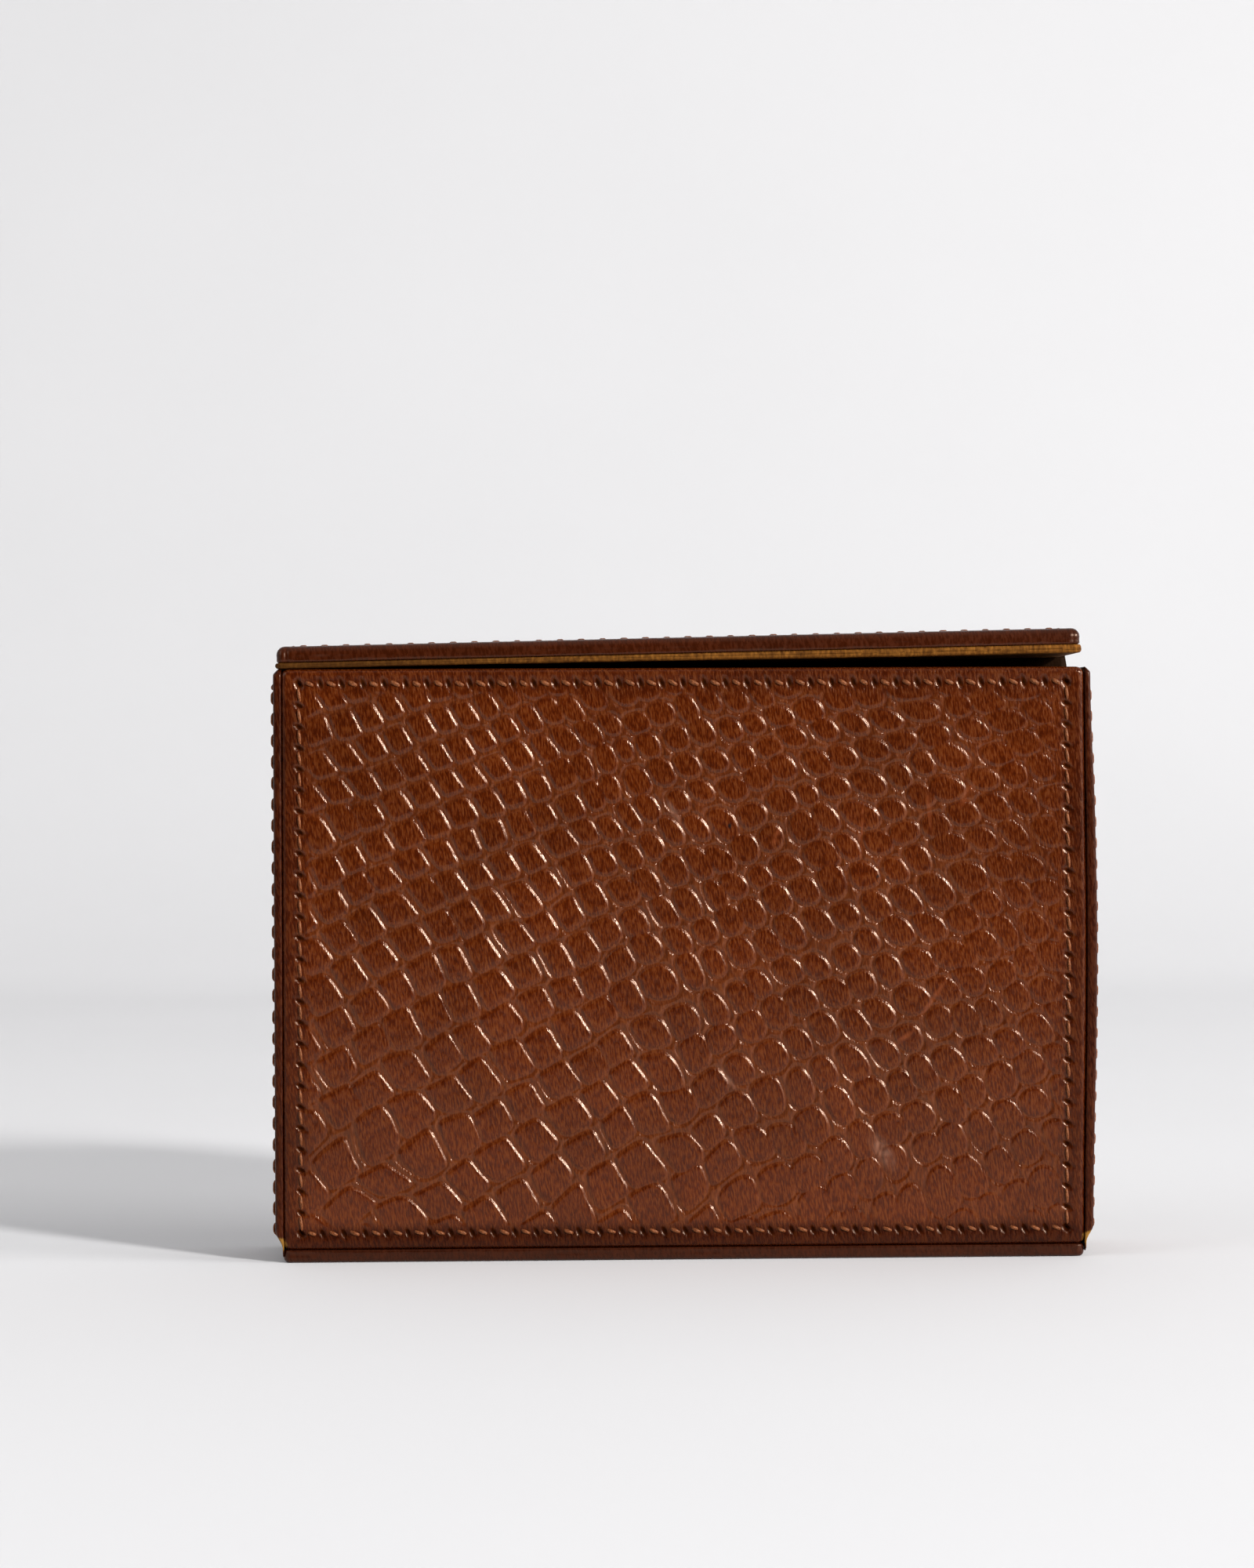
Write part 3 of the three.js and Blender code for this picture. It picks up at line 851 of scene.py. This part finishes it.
def build_linings():
    """The tan leather inside the walls and on the floor."""
    for name, inward, x_axis, first, second in (
            ("front", (0, 1, 0), (1, 0, 0), 0, 2), ("back", (0, -1, 0), (-1, 0, 0), 0, 2),
            ("left_end", (1, 0, 0), (0, 1, 0), 1, 2), ("right_end", (-1, 0, 0), (0, -1, 0), 1, 2),
            ("base", (0, 0, 1), (1, 0, 0), 0, 1)):
        low, high = node_size(f"{name}_lining")
        size, centre, out = high - low, (low + high) / 2, Vector(inward)
        origin = centre + Vector([out[k] * size[k] / 2 for k in range(3)])
        thickness = sum(abs(out[k]) * size[k] for k in range(3))
        points, faces, _ = slab(
            size[first], size[second], thickness, 1.2, 0.25, under_round=0.15, corner=0.6, side_wave=0.0,
            relief=lambda x, y: (0.03 * value_noise(x, y, 6.0, 14) - 0.03, {}))
        matrix = place(origin, x_axis, inward)
        piece = make_piece(f"{name}_lining_leather", points, faces, matrix, tan_leather)
        add_piece(piece, "case", "lining_leather", f"{name}_lining")


def build_divider():
    """Lining leather folded over the divider board, as an upside-down U drawn along the case's depth."""
    low, high = node_size("divider_lining")
    outer, inner, headroom = (high.x - low.x) / 2, 0.4, 2.0
    arch = [math.pi * k / 8 for k in range(9)]
    outline = [(outer, low.z)] + [(outer * math.cos(a), high.z - outer + outer * math.sin(a)) for a in arch]
    outline += [(-outer, low.z), (-inner, low.z)]
    outline += [(-inner, high.z - headroom), (inner, high.z - headroom), (inner, low.z)]
    steps = np.linspace(low.y, high.y, 16)
    points, faces, n = [], [], len(outline)
    for y in steps:
        sway = 0.05 * math.sin(y * 0.3)
        points += [(x + sway * (z - low.z) / (high.z - low.z), y, z) for x, z in outline]
    for k in range(len(steps) - 1):
        for q in range(n):
            a, b = k * n + q, k * n + (q + 1) % n
            faces.append((a, b, b + n, a + n))
    faces.append(tuple(range(n - 1, -1, -1)))
    faces.append(tuple((len(steps) - 1) * n + q for q in range(n)))
    piece = make_piece("divider_leather", points, faces, Matrix.Identity(4), tan_leather, smooth=False)
    add_piece(piece, "case", "lining_leather", "divider_lining")


def strip_piece(name, low_edge, high_edge, rows):
    """Part of the hinge strip, a thin closed slab between two edges given as heights over x."""
    low, high = node_size("hinge_strip")
    xs = np.linspace(high.x - PANEL_WIDTH, high.x, 127)
    points, inner = [], []
    for y, is_inner in ((high.y, 0.0), (low.y + 0.02, 1.0)):
        for k in range(rows + 1):
            t = k / rows
            z = low_edge(xs) * (1 - t) + high_edge(xs) * t
            wave = 0.03 * value_noise(xs, z, 8.0, 41)
            lean = LID_SHIFT * smoothstep(CASE_TOP - 0.5, high.z, z)
            flare = smoothstep(CASE_TOP - 0.2, CASE_TOP + 0.4, z) * smoothstep(40.0, STRIP_HALF, xs)
            lean -= STRIP_FLARE * flare
            outer_inset = 0.0 if is_inner else 0.03
            points.append(np.c_[xs - lean, y + wave - outer_inset, z])
            inner.append(np.full_like(xs, is_inner))
    n, layer = len(xs), len(xs) * (rows + 1)
    faces = []
    for k in range(rows):
        for q in range(n - 1):
            a = k * n + q
            faces.append((a + 1, a, a + n, a + n + 1))
            faces.append((layer + a, layer + a + 1, layer + a + n + 1, layer + a + n))
    for q in range(n - 1):
        top = rows * n + q
        faces.append((q, q + 1, layer + q + 1, layer + q))
        faces.append((top + 1, top, layer + top, layer + top + 1))
    for k in range(rows):
        a, b = k * n, k * n + n - 1
        faces.append((a, layer + a, layer + a + n, a + n))
        faces.append((layer + b, b, b + n, layer + b + n))
    count = 2 * layer
    # inner marks the strip's inner face, which the leather material paints near black as shade.
    attributes = {"inner": np.concatenate(inner), "crease": np.zeros(count), "hole": np.zeros(count)}
    return make_piece(name, np.vstack(points), faces, Matrix.Identity(4), strip_leather, attributes)


def build_hinge():
    """The hinge strip in two parts that meet at the hinge's axis."""
    low, high = node_size("hinge_strip")
    slope = math.tan(LID_TILT)

    def fold(x):
        return hinge_point.z + (x - hinge_point.x) * slope

    def bottom(x):
        return np.full_like(x, low.z)

    def top(x):
        return high.z - (high.x - x) * slope

    lower = strip_piece("hinge_strip_lower", bottom, fold, 24)
    upper = strip_piece("hinge_strip_upper", fold, top, 12)
    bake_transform(lower)
    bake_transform(upper)
    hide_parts("hinge_strip")


def dress_boards():
    for name, node in frame["nodes"].items():
        if name.endswith("_board"):
            node.data.materials.clear()
            node.data.materials.append(board)


# ---------------------------------------------------------------- stage

def plain_material(name, colour, roughness):
    material, tree, shader = new_material(name)
    soft = noise(tree, stretched_coordinates(tree, (1.0, 1.0, 1.0)), scale=6.0, detail=2.0)
    shades = ramp(tree, soft, [(0.3, tuple(c * 0.985 for c in colour)), (0.7, colour)])
    tree.links.new(shades, shader.inputs["Base Color"])
    shader.inputs["Roughness"].default_value = roughness
    shader.inputs["Specular IOR Level"].default_value = 0.2
    return material


def build_stage():
    """A pale floor that curves up into a wider backdrop, in metres."""
    floor_half, backdrop_half, lift_off = 0.6503, 3.0, 0.0022
    near, far, bend, tall = -0.5, 1.45, 0.7, 3.0
    profile = [(near, 0.0)] + [(far - bend + bend * math.sin(a), bend - bend * math.cos(a))
                               for a in np.linspace(0.0, math.pi / 2, 24)] + [(far, tall)]
    points = []
    for y, z in profile:
        half = floor_half if z < lift_off else backdrop_half
        points += [(-half, y, z), (half, y, z)]
    faces = [(2 * k, 2 * k + 1, 2 * k + 3, 2 * k + 2) for k in range(len(profile) - 1)]
    paper = plain_material("paper_floor", (0.795, 0.795, 0.812), 0.9)
    make_object("floor", np.array(points), faces, paper)


def add_light(name, location, target, size, watts, colour):
    data = bpy.data.lights.new(name, "AREA")
    data.shape = "RECTANGLE"
    data.size, data.size_y = size
    data.energy = watts
    data.color = colour
    light = bpy.data.objects.new(name, data)
    light.location = location
    light.rotation_euler = (Vector(target) - Vector(location)).to_track_quat("-Z", "Y").to_euler()
    bpy.context.scene.collection.objects.link(light)


def build_lights():
    """Soft light from the right, a stronger small one further forward, a weak fill, and a pale room."""
    world = bpy.data.worlds.new("studio")
    world.use_nodes = True
    tree = world.node_tree
    background = tree.nodes["Background"]
    background.inputs["Strength"].default_value = 0.53
    towards = tree.nodes.new("ShaderNodeTexCoord")
    split = tree.nodes.new("ShaderNodeSeparateXYZ")
    tree.links.new(towards.outputs["Generated"], split.inputs["Vector"])
    room = map_range(tree, split.outputs["Y"], -0.94, -0.42, 0.03, 1.0)
    tree.links.new(room, background.inputs["Color"])
    bpy.context.scene.world = world
    middle = (0.0, 0.0, 0.05)
    warm, cool = (1.0, 0.985, 0.965), (0.97, 0.985, 1.0)
    add_light("side_window", (2.20, -0.72, 0.74), middle, (0.95, 0.95), 28.0, warm)
    add_light("front_window", (1.80, -2.03, 1.09), middle, (0.32, 0.32), 88.0, warm)
    add_light("fill", (-1.6, -0.9, 1.1), middle, (1.0, 1.0), 5.0, cool)


def build_camera():
    """Level camera, at four fifths of the case's height and a little to the left of its middle."""
    distance, left, height = 630.8, 8.9, 74.7
    yaw, roll = math.radians(-2.0), math.radians(-0.26)
    lens, sensor = 50.0, 19.5
    data = bpy.data.cameras.new("camera")
    data.lens = lens
    data.sensor_width = sensor
    data.clip_start, data.clip_end = 0.01, 20.0
    camera = bpy.data.objects.new("camera", data)
    front = Vector((0.0, -DEPTH / 2, 0.0))
    turn = Matrix.Rotation(yaw, 4, "Z")
    offset = turn @ Vector((-left, -distance, 0.0))
    position = (front + offset + Vector((0, 0, height))) * MM
    camera.matrix_world = (Matrix.Translation(position) @ turn @ Matrix.Rotation(math.pi / 2, 4, "X")
                           @ Matrix.Rotation(roll, 4, "Z"))
    bpy.context.scene.collection.objects.link(camera)
    bpy.context.scene.camera = camera


build_camera()
build_front()
build_back()
build_end("left_end", 91)
build_end("right_end", 97)
build_base()
build_lid()
build_lid_lining()
build_linings()
build_divider()
build_hinge()
dress_boards()
build_stage()
build_lights()
bpy.context.scene.view_settings.view_transform = "Standard"
